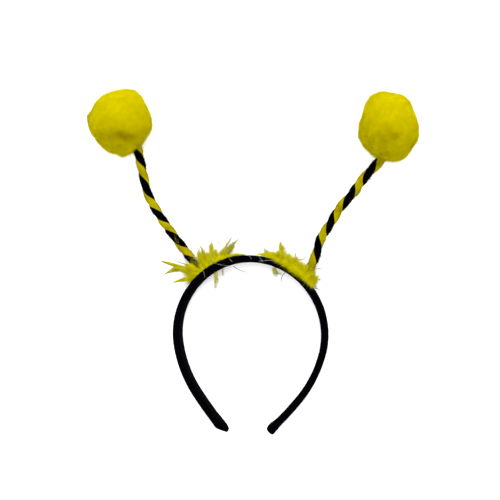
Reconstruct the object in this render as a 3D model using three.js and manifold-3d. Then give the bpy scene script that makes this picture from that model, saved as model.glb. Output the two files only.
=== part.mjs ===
// A bee antenna headband lying on its side on a table: a fabric-covered band, two stems of twisted
// yellow and black strand, a pompom on each stem and yellow feather round the foot of each stem.
// Millimetres, +Z up. The crown's top points along +Y and the band's lower edge lies on the table.
import * as THREE from "three";
import { mergeVertices } from "three/addons/utils/BufferGeometryUtils.js";
import Module from "manifold-3d";

const wasm = await Module();
wasm.setup();

// space kept between two pieces
const gap = 0.3;

// band
const crownRadius = 58;
const bandWidth = 12;
const bandThickness = 5.2;
const bandCorner = 1.2;
const tipRounding = 4.5;
const tipFold = 14;
const tipSwell = 0.8;
// each half of the band, from the crown's top to its tip: bend is the arc's radius as a share of
// the crown's, sweep the degrees it turns
const bandArcs = [
  { bend: 1, sweep: 102.4 },
  { bend: 1.6, sweep: 24.2 },
  { bend: 4.55, sweep: 7.8 },
];

// stems
const stemAngle = 42;
const strandRadius = 3;
const strandOffset = 0.6;
const footRise = 3;
// each stem's twist: the length of one turn, and the turns before its black strand first faces up
const leftTwist = { pitch: 24.3, firstUp: 0.37 };
const rightTwist = { pitch: 22.6, firstUp: 0.13 };

// pompoms
const pompomRadius = 25.4;
const pompomRest = 0.985;
const headShare = 0.8;
const leftReachOut = 106.7;
const leftReachUp = 100.7;
const rightReachOut = 99;
const rightReachUp = 99.4;
const tuftRadius = 13;

// feather trims
const featherLength = 22;
const featherRadius = 3;
const featherTip = 0.09;
const featherThinning = 0.35;
const featherFlatness = 0.8;
const backingWidth = 11;
const backingThickness = 1.6;

// how each stem bends: along and aside are shares of the straight line from its foot to the
// pompom's centre (aside is outwards), rise the share of the climb from mid-band to that centre
const leftBends = [
  { along: 0.1, aside: 0.016, rise: 0.03 },
  { along: 0.243, aside: 0.04, rise: 0.14 },
  { along: 0.4, aside: 0.059, rise: 0.32 },
  { along: 0.556, aside: 0.06, rise: 0.52 },
  { along: 0.655, aside: 0.033, rise: 0.65 },
  { along: 0.753, aside: 0.001, rise: 0.78 },
  { along: 0.84, aside: -0.025, rise: 0.88 },
];
const rightBends = [
  { along: 0.048, aside: 0.002, rise: 0.01 },
  { along: 0.145, aside: -0.008, rise: 0.05 },
  { along: 0.256, aside: -0.032, rise: 0.14 },
  { along: 0.366, aside: -0.025, rise: 0.27 },
  { along: 0.473, aside: -0.02, rise: 0.41 },
  { along: 0.578, aside: 0.004, rise: 0.55 },
  { along: 0.682, aside: 0.0165, rise: 0.69 },
  { along: 0.796, aside: 0.046, rise: 0.83 },
  { along: 0.864, aside: 0.061, rise: 0.9 },
];

// tufts of a pompom in rings round the view axis: lift is the ring's slope up from the middle,
// first the turn of its first tuft, reach each tuft's length as a share of the pompom's radius
const leftTufts = [
  { lift: -90, first: 0, reach: [1] },
  { lift: -48, first: 20, reach: [0.96, 0.98, 0.95, 0.97, 0.95] },
  {
    lift: 0,
    first: 0,
    reach: [1.02, 1.01, 1.12, 1.04, 1.04, 1.05, 0.94, 0.97, 1.0, 0.93],
  },
  { lift: 48, first: 54, reach: [1.0, 0.96, 0.98, 0.94, 0.97] },
  { lift: 90, first: 0, reach: [0.96] },
];
const rightTufts = [
  { lift: -90, first: 0, reach: [1] },
  { lift: -48, first: 60, reach: [0.96, 0.88, 0.94, 0.95, 0.9] },
  {
    lift: 0,
    first: 0,
    reach: [0.84, 0.83, 1.0, 1.08, 0.93, 0.88, 0.91, 0.97, 1.04, 0.93],
  },
  { lift: 48, first: 18, reach: [0.86, 0.97, 0.88, 0.93, 0.96] },
  { lift: 90, first: 0, reach: [0.95] },
];

// locks of a feather trim: at is the root's angle from the crown's top, deep the root's place
// across the band as a share of its width, lean the turn from straight out towards the band's
// tip, lift the slope up from the table, curl the same turn again by the lock's end, size and
// girth shares of featherLength and featherRadius
const leftLocks = [
  { at: 44, deep: 0.55, lean: 23, lift: 10, curl: 14, size: 1.5, girth: 0.5 },
  { at: 44, deep: 0.45, lean: 15, lift: 8, curl: 68, size: 1.36, girth: 0.6 },
  { at: 48, deep: 0.45, lean: 52, lift: 9, curl: 12, size: 0.86, girth: 0.85 },
  { at: 46, deep: 0.72, lean: 11, lift: 18, curl: 34, size: 0.64, girth: 1.3 },
  { at: 44, deep: 0.72, lean: -10, lift: 26, curl: 41, size: 0.65, girth: 1.2 },
  { at: 37, deep: 0.7, lean: 0, lift: 22, curl: -36, size: 0.74, girth: 1.1 },
  { at: 35, deep: 0.55, lean: -2, lift: 18, curl: -34, size: 0.72, girth: 1.1 },
  { at: 32, deep: 0.7, lean: -2, lift: 21, curl: -24, size: 0.5, girth: 1.1 },
  { at: 30, deep: 0.45, lean: -6, lift: 9, curl: -32, size: 0.81, girth: 1 },
  { at: 28, deep: 0.65, lean: -22, lift: 24, curl: -16, size: 0.5, girth: 1.2 },
  { at: 25, deep: 0.6, lean: -61, lift: 21, curl: -15, size: 0.59, girth: 1.1 },
  { at: 25, deep: 0.4, lean: -67, lift: 10, curl: -4, size: 1.09, girth: 0.75 },
  { at: 21, deep: 0.45, lean: -88, lift: 8, curl: -24, size: 0.79, girth: 0.6 },
];
const rightLocks = [
  { at: 14, deep: 0.45, lean: -59, lift: 16, curl: -17, size: 0.37, girth: 0.9 },
  { at: 18, deep: 0.6, lean: -60, lift: 20, curl: -2, size: 0.34, girth: 1 },
  { at: 21, deep: 0.7, lean: -37, lift: 30, curl: 2, size: 0.43, girth: 1.2 },
  { at: 22, deep: 0.45, lean: -31, lift: 9, curl: 1, size: 0.77, girth: 0.9 },
  { at: 27, deep: 0.65, lean: -31, lift: 24, curl: 22, size: 0.48, girth: 1.3 },
  { at: 31, deep: 0.7, lean: -23, lift: 27, curl: 21, size: 0.48, girth: 1.3 },
  { at: 36, deep: 0.65, lean: -20, lift: 28, curl: 8, size: 0.49, girth: 1.3 },
  { at: 46, deep: 0.6, lean: -23, lift: 18, curl: 9, size: 0.52, girth: 1.3 },
  { at: 48, deep: 0.7, lean: -6, lift: 26, curl: 33, size: 0.38, girth: 1.2 },
  { at: 48, deep: 0.4, lean: 36, lift: 10, curl: 30, size: 0.3, girth: 1.1 },
];
// the stretch of the band that each trim's backing covers, in degrees from the crown's top
const leftSpan = { from: 16, to: 54 };
const rightSpan = { from: 7, to: 52 };

const skyward = new THREE.Vector3(0, 0, 1);
const bandMiddle = bandWidth / 2;
const stemReach = strandOffset + strandRadius;

// A solid for joining and cutting, from any closed three.js geometry.
function solid(shape) {
  shape.deleteAttribute("normal");
  shape.deleteAttribute("uv");
  const merged = mergeVertices(shape);
  return new wasm.Manifold(
    new wasm.Mesh({
      numProp: 3,
      vertProperties: merged.getAttribute("position").array,
      triVerts: new Uint32Array(merged.index.array),
    }),
  );
}

// A closed body carried along a line: frameAt gives its place and two crossing directions at each
// step, sectionAt the outline's points there; each end is closed from the section's own middle.
function carried(sides, steps, frameAt, sectionAt) {
  const body = new THREE.CylinderGeometry(1, 1, 1, sides, steps);
  const spots = body.getAttribute("position");
  const rings = Array.from({ length: steps + 1 }, (_, step) => ({
    ...frameAt(step),
    section: sectionAt(step),
  }));
  for (let i = 0; i < spots.count; i++) {
    const step = Math.round((spots.getY(i) + 0.5) * steps);
    const turn = Math.atan2(spots.getX(i), spots.getZ(i)) / (2 * Math.PI);
    const side = (Math.round(turn * sides) + sides) % sides;
    const onEdge = Math.hypot(spots.getX(i), spots.getZ(i)) > 0.5;
    const { place, across, up, section } = rings[step];
    const [a, b] = onEdge ? section.edge(side) : section.middle;
    const point = place.clone();
    point.addScaledVector(across, a).addScaledVector(up, b);
    spots.setXYZ(i, point.x, point.y, point.z);
  }
  return solid(body);
}

// A rectangle's outline with rounded corners, cornerSteps flats to each corner.
function roundedRectangle(thick, wide, corner, cornerSteps) {
  const perCorner = cornerSteps + 1;
  return {
    middle: [0, 0],
    edge(side) {
      const quarter = Math.floor(side / perCorner);
      const bend =
        ((quarter + (side % perCorner) / cornerSteps) * Math.PI) / 2;
      const right = quarter < 2 ? 1 : -1;
      const top = quarter === 0 || quarter === 3 ? 1 : -1;
      return [
        right * (thick / 2 - corner) + corner * Math.sin(bend),
        top * (wide / 2 - corner) + corner * Math.cos(bend),
      ];
    },
  };
}

// A regular outline of the given radius.
function round(radius, sides) {
  return {
    middle: [0, 0],
    edge(side) {
      const turn = (side / sides) * 2 * Math.PI;
      return [radius * Math.sin(turn), radius * Math.cos(turn)];
    },
  };
}

// The band's middle line at a distance from the crown's top, to the right where it is positive.
function bandLine(distance) {
  const hand = Math.sign(distance) || 1;
  const place = new THREE.Vector3(0, 0, bandMiddle);
  let left = Math.abs(distance);
  let turned = 0;
  for (const [index, arc] of bandArcs.entries()) {
    const radius = arc.bend * crownRadius;
    const last = index === bandArcs.length - 1;
    const full = THREE.MathUtils.degToRad(arc.sweep);
    const turn = last ? left / radius : Math.min(left / radius, full);
    place.x += radius * (Math.sin(turned + turn) - Math.sin(turned));
    place.y += radius * (Math.cos(turned + turn) - Math.cos(turned));
    turned += turn;
    left -= turn * radius;
    if (left <= 0) break;
  }
  place.x *= hand;
  return {
    place,
    across: new THREE.Vector3(hand * Math.sin(turned), Math.cos(turned), 0),
    up: new THREE.Vector3(0, 0, -1),
  };
}

// The band, or the room it takes up when it is grown by some clearance.
function bandSolid(grown) {
  const tipSteps = 5;
  const middleSteps = 60;
  const cornerSteps = 2;
  const length = bandArcs.reduce(
    (sum, arc) =>
      sum + arc.bend * crownRadius * THREE.MathUtils.degToRad(arc.sweep),
    0,
  );
  // how far each step lies from the nearest tip
  const fromTip = [];
  for (let i = 0; i < tipSteps; i++)
    fromTip.push(tipRounding * (1 - Math.cos((i / tipSteps) * (Math.PI / 2))));
  const stations = [
    ...fromTip.map((d) => d - length),
    ...Array.from({ length: middleSteps + 1 }, (_, i) =>
      THREE.MathUtils.lerp(
        tipRounding - length,
        length - tipRounding,
        i / middleSteps,
      ),
    ),
    ...fromTip.map((d) => length - d).reverse(),
  ];
  return carried(
    4 * (cornerSteps + 1),
    stations.length - 1,
    (step) => bandLine(stations[step]),
    (step) => {
      const toTip = length - Math.abs(stations[step]);
      const inside = Math.max(0, 1 - toTip / tipRounding);
      const narrowed = tipRounding * (1 - Math.sqrt(1 - inside * inside));
      const folded = 1 - THREE.MathUtils.smoothstep(toTip, 0, tipFold);
      return roundedRectangle(
        bandThickness + tipSwell * (folded - inside / 2) + 2 * grown,
        bandWidth - 2 * narrowed + 2 * grown,
        bandCorner + grown,
        cornerSteps,
      );
    },
  );
}

// The place and outward direction on the band's outer face at an angle from the crown's top.
function onCrown(hand, degrees, above) {
  const angle = THREE.MathUtils.degToRad(degrees);
  const out = new THREE.Vector3(hand * Math.sin(angle), Math.cos(angle), 0);
  const radius = crownRadius + bandThickness / 2 + above;
  const place = out.clone().multiplyScalar(radius);
  place.y -= crownRadius;
  place.z = bandMiddle;
  return { place, out };
}

// The pompom's centre on each side.
function pompomCentre(hand) {
  return new THREE.Vector3(
    hand < 0 ? -leftReachOut : rightReachOut,
    hand < 0 ? leftReachUp : rightReachUp,
    pompomRest * pompomRadius,
  );
}

// The line up the middle of a stem, from just above the band to inside the pompom.
function stemLine(hand, bends) {
  const { place: foot, out } = onCrown(hand, stemAngle, gap);
  const centre = pompomCentre(hand);
  const along = centre.clone().sub(foot).setZ(0);
  const aside = new THREE.Vector3(hand * along.y, -hand * along.x, 0);
  const climb = centre.z - foot.z;
  const points = bends.map((bend) =>
    foot
      .clone()
      .addScaledVector(along, bend.along)
      .addScaledVector(aside, bend.aside)
      .addScaledVector(skyward, bend.rise * climb),
  );
  return new THREE.CatmullRomCurve3(
    [foot, foot.clone().addScaledVector(out, footRise), ...points],
    false,
    "centripetal",
  );
}

// Directions across a stem's line at a share of its length, turned by some angle round it.
function stemFrame(line, share, turn) {
  const place = line.getPointAt(share);
  const tangent = line.getTangentAt(share);
  const across = tangent.clone().cross(skyward).normalize();
  const up = across.clone().cross(tangent);
  const cos = Math.cos(turn);
  const sin = Math.sin(turn);
  return {
    place,
    across: across
      .clone()
      .multiplyScalar(cos)
      .addScaledVector(up, -sin),
    up: up.clone().multiplyScalar(cos).addScaledVector(across, sin),
  };
}

// One strand of a stem: a round rod flattened where it meets the other strand, wound left-handed.
// firstUp is how many turns it makes from the stem's foot before it faces up. It is built as its
// mirror image, so that its facets bend away from the other strand's.
function strandSolid(line, pitch, firstUp) {
  const sides = 8;
  const stepsPerTurn = 12;
  const turns = line.getLength() / pitch;
  const steps = Math.round(turns * stepsPerTurn);
  const flat = strandOffset - gap / 2;
  const wrap = Math.PI - Math.acos(flat / strandRadius);
  return carried(
    sides,
    steps,
    (step) => {
      const share = step / steps;
      const turn = 2 * Math.PI * (firstUp - share * turns);
      const { place, across, up } = stemFrame(line, share, turn);
      place.x *= -1;
      up.x *= -1;
      across.y *= -1;
      across.z *= -1;
      return { place, across, up };
    },
    () => ({
      middle: [0, strandOffset],
      edge(side) {
        const turn = wrap * ((2 * side) / (sides - 1) - 1);
        return [
          strandRadius * Math.sin(turn),
          strandOffset + strandRadius * Math.cos(turn),
        ];
      },
    }),
  ).mirror([1, 0, 0]);
}

// The room a stem takes up, with clearance round it and past its end.
function stemRoom(line) {
  const sides = 12;
  const steps = 20;
  const room = round((stemReach + gap) / Math.cos(Math.PI / sides), sides);
  return carried(
    sides,
    steps,
    (step) => {
      const frame = stemFrame(line, Math.min(step / (steps - 1), 1), 0);
      if (step === steps)
        frame.place.addScaledVector(line.getTangentAt(1), gap);
      return frame;
    },
    () => room,
  );
}

// A pompom: blunt tufts fused to a round head, flattened where it lies on the table, with a
// socket for its stem.
function pompomSolid(hand, tufts, line) {
  const centre = pompomCentre(hand);
  const head = solid(
    new THREE.IcosahedronGeometry(pompomRadius * headShare, 2),
  ).translate([centre.x, centre.y, centre.z]);
  const lumps = tufts.flatMap((ring) =>
    ring.reach.map((reach, index) => {
      const turn = THREE.MathUtils.degToRad(
        ring.first + (360 * index) / ring.reach.length,
      );
      const lift = THREE.MathUtils.degToRad(ring.lift);
      const out = pompomRadius * reach - tuftRadius;
      return solid(new THREE.IcosahedronGeometry(tuftRadius, 1)).translate([
        centre.x + out * Math.cos(lift) * Math.cos(turn),
        centre.y + out * Math.cos(lift) * Math.sin(turn),
        centre.z + out * Math.sin(lift),
      ]);
    }),
  );
  return wasm.Manifold.union([head, ...lumps])
    .trimByPlane([0, 0, 1], 0)
    .subtract(stemRoom(line));
}

// One lock: a tapered, flattened rod that leaves the backing and curls towards its end.
function lockSolid(hand, lock) {
  const sides = 6;
  const steps = 3;
  const sunk = gap + backingThickness / 2;
  const { place: root } = onCrown(hand, lock.at, sunk);
  root.z = lock.deep * bandWidth;
  const length = lock.size * featherLength;
  const lift = THREE.MathUtils.degToRad(lock.lift);
  const heading = (share) => {
    const { out } = onCrown(
      hand,
      lock.at + lock.lean + lock.curl * share,
      0,
    );
    return out.multiplyScalar(Math.cos(lift)).setZ(Math.sin(lift));
  };
  const places = [root];
  for (let i = 0; i < steps; i++)
    places.push(
      places[i]
        .clone()
        .addScaledVector(heading((i + 0.5) / steps), length / steps),
    );
  return carried(
    sides,
    steps,
    (step) => {
      const ahead = heading(step / steps);
      const across = ahead.clone().cross(skyward).normalize();
      return { place: places[step], across, up: across.clone().cross(ahead) };
    },
    (step) => {
      const share = step / steps;
      const taper = (1 - share * share) * (1 - featherThinning * share) + featherTip;
      const rod = round(lock.girth * featherRadius * taper, sides);
      return {
        middle: rod.middle,
        edge(side) {
          const [a, b] = rod.edge(side);
          return [a, featherFlatness * b];
        },
      };
    },
  );
}

// A feather trim: locks fused to a strip of backing that lies on the band's outer face, with a
// hole for the stem's foot.
function trimSolid(hand, span, locks, line) {
  const steps = 14;
  const cornerSteps = 1;
  // a little less than the gap, so that the cut leaves the backing's own face whole
  const bandClearance = 0.8 * gap;
  const backing = carried(
    4 * (cornerSteps + 1),
    steps,
    (step) => {
      const angle = THREE.MathUtils.lerp(span.from, span.to, step / steps);
      const { place, out } = onCrown(
        hand,
        angle,
        gap + backingThickness / 2,
      );
      return {
        place,
        across: out,
        up: new THREE.Vector3(0, 0, -hand),
      };
    },
    () =>
      roundedRectangle(
        backingThickness,
        backingWidth,
        backingThickness / 4,
        cornerSteps,
      ),
  );
  const pieces = wasm.Manifold.union([
    backing,
    ...locks.map((lock) => lockSolid(hand, lock)),
  ])
    .subtract(bandSolid(bandClearance))
    .subtract(stemRoom(line))
    .trimByPlane([0, 0, 1], gap)
    .decompose();
  return pieces.reduce((most, piece) =>
    piece.volume() > most.volume() ? piece : most,
  );
}

const group = new THREE.Group();

// Adds one solid as a named mesh with its own material.
function add(name, body, colour, roughness) {
  const made = body.getMesh();
  const shape = new THREE.BufferGeometry();
  shape.setAttribute(
    "position",
    new THREE.BufferAttribute(new Float32Array(made.vertProperties), 3),
  );
  shape.setIndex(new THREE.BufferAttribute(new Uint32Array(made.triVerts), 1));
  shape.computeVertexNormals();
  const material = new THREE.MeshStandardMaterial({
    color: colour,
    roughness,
    metalness: 0,
  });
  const mesh = new THREE.Mesh(shape, material);
  mesh.name = name;
  group.add(mesh);
}

const black = 0x050507;
const yellow = 0xd2c400;
const leftLine = stemLine(-1, leftBends);
const rightLine = stemLine(1, rightBends);

add("headband", bandSolid(0), black, 0.85);
for (const { side, hand, line, twist, tufts, span, locks } of [
  {
    side: "left",
    hand: -1,
    line: leftLine,
    twist: leftTwist,
    tufts: leftTufts,
    span: leftSpan,
    locks: leftLocks,
  },
  {
    side: "right",
    hand: 1,
    line: rightLine,
    twist: rightTwist,
    tufts: rightTufts,
    span: rightSpan,
    locks: rightLocks,
  },
]) {
  const { pitch, firstUp } = twist;
  add(`stem_${side}_yellow`, strandSolid(line, pitch, firstUp + 0.5), yellow, 0.9);
  add(`stem_${side}_black`, strandSolid(line, pitch, firstUp), black, 0.9);
  add(`pompom_${side}`, pompomSolid(hand, tufts, line), yellow, 0.95);
  add(`feather_trim_${side}`, trimSolid(hand, span, locks, line), yellow, 0.9);
}

// the origin is under the middle of the whole headband, on the table
const box = new THREE.Box3().setFromObject(group, true);
const middle = box.getCenter(new THREE.Vector3());
for (const mesh of group.children)
  mesh.geometry.translate(-middle.x, -middle.y, -box.min.z);

export default group;
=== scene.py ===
import math

import bpy
import numpy as np
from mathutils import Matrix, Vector


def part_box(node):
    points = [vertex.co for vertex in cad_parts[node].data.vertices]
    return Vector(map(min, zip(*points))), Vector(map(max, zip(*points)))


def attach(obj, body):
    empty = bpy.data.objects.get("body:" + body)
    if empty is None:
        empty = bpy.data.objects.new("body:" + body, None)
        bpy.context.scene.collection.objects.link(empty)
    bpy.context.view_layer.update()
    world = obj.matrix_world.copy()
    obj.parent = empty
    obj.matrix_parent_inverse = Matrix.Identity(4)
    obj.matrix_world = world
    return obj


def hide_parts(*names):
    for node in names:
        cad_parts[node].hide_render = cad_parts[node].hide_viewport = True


# the whole thing lies on its side on a pale table, seen from above as in the photo
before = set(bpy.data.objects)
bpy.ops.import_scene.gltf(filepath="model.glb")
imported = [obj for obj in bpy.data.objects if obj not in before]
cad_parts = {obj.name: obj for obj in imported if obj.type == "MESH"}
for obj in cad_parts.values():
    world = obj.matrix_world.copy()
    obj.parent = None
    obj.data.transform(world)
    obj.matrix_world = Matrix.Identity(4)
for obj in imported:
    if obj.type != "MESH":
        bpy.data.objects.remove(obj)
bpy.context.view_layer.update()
print("stage: frame loaded,", len(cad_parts), "nodes")

random = np.random.default_rng(7)
mm = 0.001
bandLow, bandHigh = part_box("headband")

headband = {
    "crownRadius": 58 * mm,
    "width": 12 * mm,
    "thickness": 5.2 * mm,
    "corner": 0.9 * mm,
    "tipRounding": 4.5 * mm,
    "tipFold": 14 * mm,
    "tipSwell": 0.8 * mm,
    "cloth": 0.15 * mm,
    # the ends, left and right: how far each is rounded off on its outer and its inner side, how
    # much longer it is, the slant of its cut and how much thicker the folded cloth makes it
    "endRound": (2.2 * mm, 3.6 * mm),
    "innerEndRound": (8 * mm, 3.6 * mm),
    "endReach": (2.2 * mm, -1.3 * mm),
    "endSlant": (1.55, 0),
    "endSwell": (0.1 * mm, 1.4 * mm),
    "endThinning": 0.92,
    "swellReach": 15 * mm,
    "foldReach": 9 * mm,
    # each half from the crown to the tip: radius as a share of the crown's, degrees turned
    "arcs": [(1, 102.4), (1.6, 24.2), (4.55, 7.8)],
    "stations": 520,
    "pleatDepth": 0.12 * mm,
    "pleats": 11,
    "seamHeight": 0.22 * mm,
    "seamWidth": 1.1 * mm,
    "waveDepth": 0.07 * mm,
    # radians per metre of the fine and the coarse wave along the band, and of their slant
    "waves": (310, 73, 9000),
}

# the crown's top on the band's middle line is where the CAD measures from
bandTop = Vector(((bandLow.x + bandHigh.x) / 2, bandHigh.y - headband["thickness"] / 2, 0))

photoCamera = {
    "fromBandTop": (84.37 * mm, -4.22 * mm, 500 * mm),
    "pitch": 0.02186,
    "yaw": 0.1747,
    "roll": 0.04457,
    "lens": 46.3,
}


def placeCamera():
    camera = bpy.data.cameras.new("photoCamera")
    camera.lens = photoCamera["lens"]
    camera.sensor_width = 36
    camera.clip_start = 0.01
    camera.clip_end = 20
    holder = bpy.data.objects.new("photoCamera", camera)
    holder.location = bandTop + Vector(photoCamera["fromBandTop"])
    holder.rotation_mode = "ZXY"
    holder.rotation_euler = (photoCamera["pitch"], photoCamera["yaw"], photoCamera["roll"])
    bpy.context.scene.collection.objects.link(holder)
    bpy.context.scene.camera = holder


placeCamera()
print("stage: camera placed")


def meshFrom(name, points, faceSets):
    # one object from an array of points and arrays of faces, each array with its own corner count
    mesh = bpy.data.meshes.new(name)
    corners = np.concatenate([f.ravel() for f in faceSets]).astype(np.int32)
    counts = np.concatenate([np.full(len(f), f.shape[1]) for f in faceSets])
    starts = np.concatenate([[0], np.cumsum(counts)[:-1]]).astype(np.int32)
    mesh.vertices.add(len(points))
    mesh.vertices.foreach_set("co", points.astype(np.float32).ravel())
    mesh.loops.add(len(corners))
    mesh.loops.foreach_set("vertex_index", corners)
    mesh.polygons.add(len(counts))
    mesh.polygons.foreach_set("loop_start", starts)
    mesh.polygons.foreach_set("use_smooth", np.ones(len(counts), bool))
    mesh.update(calc_edges=True)
    piece = bpy.data.objects.new(name, mesh)
    bpy.context.scene.collection.objects.link(piece)
    return piece


def addShare(piece, name, values):
    # a number for each point, which the material reads by its name
    layer = piece.data.attributes.new(name, "FLOAT", "POINT")
    layer.data.foreach_set("value", values.astype(np.float32))


def tubeFaces(rows, columns):
    # a tube of rows of points: four-cornered faces between neighbouring rows, joined round, and a
    # fan at each end to one of two further points
    ring = np.arange(columns)
    following = (ring + 1) % columns
    down = np.arange(rows - 1)[:, None] * columns
    sides = [down + ring, down + following, down + columns + following, down + columns + ring]
    last = (rows - 1) * columns
    middle = rows * columns
    start = np.stack([following, ring, np.full(columns, middle)], -1)
    end = np.stack([last + ring, last + following, np.full(columns, middle + 1)], -1)
    return [np.stack(sides, -1).reshape(-1, 4), start, end]


def unit(vectors):
    return vectors / np.maximum(np.linalg.norm(vectors, axis=-1, keepdims=True), 1e-12)


def direction(turn, slope):
    # unit vectors by their turn round the vertical and their slope up from the level
    parts = (np.cos(slope) * np.cos(turn), np.cos(slope) * np.sin(turn), np.sin(slope))
    return np.stack(np.broadcast_arrays(*parts), -1)


def between(at, marks, values):
    # rows of values, read off between the marks that they belong to
    return np.stack([np.interp(at, marks, column) for column in values.T], -1)


def smoothStep(value, low, high):
    # an even rise from 0 at low to 1 at high that starts and ends level: 3 s^2 - 2 s^3
    share = np.clip((value - low) / (high - low), 0, 1)
    return share * share * (3 - 2 * share)


# materials


def newMaterial(name, roughness, specular):
    material = bpy.data.materials.new(name)
    material.use_nodes = True
    shader = material.node_tree.nodes["Principled BSDF"]
    shader.inputs["Roughness"].default_value = roughness
    shader.inputs["Specular IOR Level"].default_value = specular
    return material, material.node_tree, shader


def addNode(tree, kind, **settings):
    node = tree.nodes.new(kind)
    for key, value in settings.items():
        setattr(node, key, value)
    return node


def mixColours(tree, factor, first, second, blend="MIX"):
    # a mix of two colours; each may be a socket or a fixed colour
    mix = addNode(tree, "ShaderNodeMix", data_type="RGBA", blend_type=blend)
    sockets = [s for s in mix.inputs if s.enabled and s.type == "RGBA"]
    factorSocket = [s for s in mix.inputs if s.enabled and s.name == "Factor"][0]
    for socket, value in ((factorSocket, factor), *zip(sockets, (first, second))):
        if isinstance(value, bpy.types.NodeSocket):
            tree.links.new(value, socket)
        else:
            socket.default_value = value
    return [s for s in mix.outputs if s.enabled][0]


def mapRange(tree, value, fromLow, fromHigh, toLow, toHigh):
    node = addNode(tree, "ShaderNodeMapRange")
    tree.links.new(value, node.inputs["Value"])
    node.inputs["From Min"].default_value = fromLow
    node.inputs["From Max"].default_value = fromHigh
    node.inputs["To Min"].default_value = toLow
    node.inputs["To Max"].default_value = toHigh
    return node.outputs["Result"]


def objectNoise(tree, scale, detail=3.0):
    place = addNode(tree, "ShaderNodeTexCoord")
    noise = addNode(tree, "ShaderNodeTexNoise")
    noise.inputs["Scale"].default_value = scale
    noise.inputs["Detail"].default_value = detail
    tree.links.new(place.outputs["Object"], noise.inputs["Vector"])
    return noise.outputs["Fac"]


def attribute(tree, name):
    node = addNode(tree, "ShaderNodeAttribute", attribute_name=name)
    return node.outputs["Fac"]


pileFinish = {
    # tint for each fibre's own tone, which in the pompoms' hollows is painted shade as well
    "fibreToneAndCreaseShade": (0.8, 0.79, 0.75, 1),
    # painted shade deep in the pompoms' creases
    "creaseShadeColour": (0.84, 0.67, 0.5, 1),
    # each pile's colour at its roots and tips, the roots mostly darker as painted shade among the
    # fibres, the tint of its patches, how fine those are, and for some the colour of the last
    # fifth
    "yellowPile": ((0.47, 0.395, 0.0, 1), (0.67, 0.575, 0.0, 1), (0.9, 0.89, 0.88, 1), 90),
    "yellowStrand": ((0.25, 0.21, 0.0, 1), (0.36, 0.305, 0.0, 1), (0.9, 0.89, 0.88, 1), 300),
    "blackStrand": (
        (0.0003, 0.0003, 0.0005, 1),
        (0.0008, 0.0008, 0.0012, 1),
        (0.7, 0.7, 0.75, 1),
        300,
    ),
    "yellowDown": (
        (0.51, 0.465, 0.0, 1),
        (0.5, 0.46, 0.003, 1),
        (0.8, 0.8, 0.8, 1),
        160,
        (0.31, 0.31, 0.14, 1),
    ),
}


def pileMaterial(name):
    # soft pile, a little different from fibre to fibre and from one patch to the next, with
    # painted shade at the roots and in the pompoms' creases
    material, tree, shader = newMaterial(name, 1.0, 0.0)
    rootColourAndShade, tipColour, patchTint, patchScale, *paleColour = pileFinish[name]
    along = attribute(tree, "along")
    own = attribute(tree, "own")
    # in most piles darker towards the roots: painted shade among the fibres
    colour = mixColours(tree, along, rootColourAndShade, tipColour)
    for pale in paleColour:
        last = mapRange(tree, along, 0.8, 1, 0, 1)
        colour = mixColours(tree, last, colour, pale)
    patch = mapRange(tree, objectNoise(tree, patchScale), 0.3, 0.7, 0, 1)
    colour = mixColours(tree, patch, colour, patchTint, "MULTIPLY")
    # darker by each fibre's own tone, and in the pompoms' hollows by painted shade
    colour = mixColours(tree, own, colour, pileFinish["fibreToneAndCreaseShade"], "MULTIPLY")
    # past one it stands for how deep in a crease the pile is, and the darker, browner tint there
    # is painted shade
    paintedCreaseShade = mapRange(tree, own, 1, 2, 0, 1)
    colour = mixColours(tree, paintedCreaseShade, colour, pileFinish["creaseShadeColour"], "MULTIPLY")
    tree.links.new(colour, shader.inputs["Base Color"])
    return material


clothFinish = {
    "weaveScale": 900,
    "weaveDistortion": 0.6,
    "lintScale": 600,
    "lowColour": (0.0002, 0.0002, 0.0006, 1),
    "highColour": (0.0006, 0.0006, 0.0014, 1),
    "lintColour": (0.002, 0.002, 0.003, 1),
    "bump": 0.25,
    "bumpHeight": 0.1 * mm,
}


def clothMaterial():
    # black cloth: a fine weave from the cloth's own measure along and round the band
    material, tree, shader = newMaterial("bandCloth", 0.85, 0.005)
    measure = addNode(tree, "ShaderNodeUVMap", uv_map="cloth")
    both = addNode(tree, "ShaderNodeMath", operation="MULTIPLY")
    for socket, way in zip(both.inputs, "XY"):
        weave = addNode(tree, "ShaderNodeTexWave", wave_type="BANDS", bands_direction=way)
        weave.inputs["Scale"].default_value = clothFinish["weaveScale"]
        weave.inputs["Distortion"].default_value = clothFinish["weaveDistortion"]
        tree.links.new(measure.outputs["UV"], weave.inputs["Vector"])
        tree.links.new(weave.outputs["Fac"], socket)
    weave = both.outputs[0]
    colour = mixColours(tree, weave, clothFinish["lowColour"], clothFinish["highColour"])
    lint = mapRange(tree, objectNoise(tree, clothFinish["lintScale"], 6), 0.62, 0.8, 0, 1)
    colour = mixColours(tree, lint, colour, clothFinish["lintColour"])
    tree.links.new(colour, shader.inputs["Base Color"])
    bump = addNode(tree, "ShaderNodeBump")
    bump.inputs["Strength"].default_value = clothFinish["bump"]
    bump.inputs["Distance"].default_value = clothFinish["bumpHeight"]
    tree.links.new(weave, bump.inputs["Height"])
    tree.links.new(bump.outputs["Normal"], shader.inputs["Normal"])
    return material


silverFinish = {
    "wearScale": 400,
    "wornColour": (0.14, 0.14, 0.13, 1),
    "brightColour": (0.36, 0.36, 0.34, 1),
    "tarnishColour": (0.03, 0.03, 0.025, 1),
}


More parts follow.
